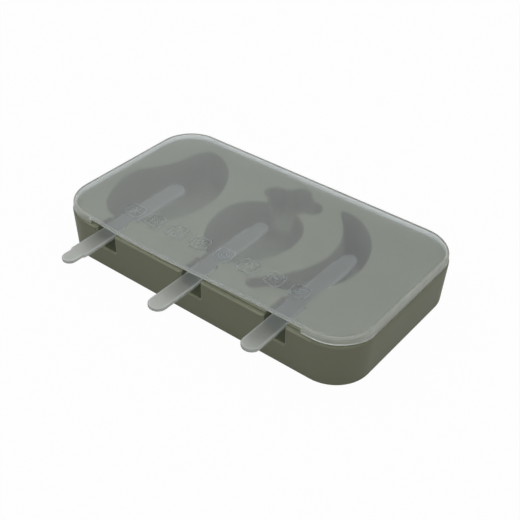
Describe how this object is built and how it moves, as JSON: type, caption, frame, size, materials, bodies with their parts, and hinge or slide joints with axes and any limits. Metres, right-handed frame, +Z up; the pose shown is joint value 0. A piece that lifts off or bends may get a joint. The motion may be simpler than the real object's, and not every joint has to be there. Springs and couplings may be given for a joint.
{
  "type": "ice pop mold",
  "caption": "Shallow rounded silicone tray with fruit-shaped cavities, each with a stick slot and finger notch, under a low frosted lid; flat sticks stand out along the front.",
  "frame": {"origin": "Middle of the tray's footprint, on the face it stands on (Z = 0).", "axes": "+X to the right along the tray's long side, -Y out of the front side that the sticks stand out of, +Z up through the lid."},
  "size_m": [0.196, 0.1395, 0.031],
  "materials": {
    "silicone": "matte grey-green silicone",
    "frosted_lid": "frosted, see-through",
    "frosted_stick": "frosted, see-through"
  },
  "bodies": {
    "root": {"mould_body": "silicone", "lid": "frosted_lid", "stick_left": "frosted_stick", "stick_middle": "frosted_stick", "stick_right": "frosted_stick"}
  },
  "joints": []
}
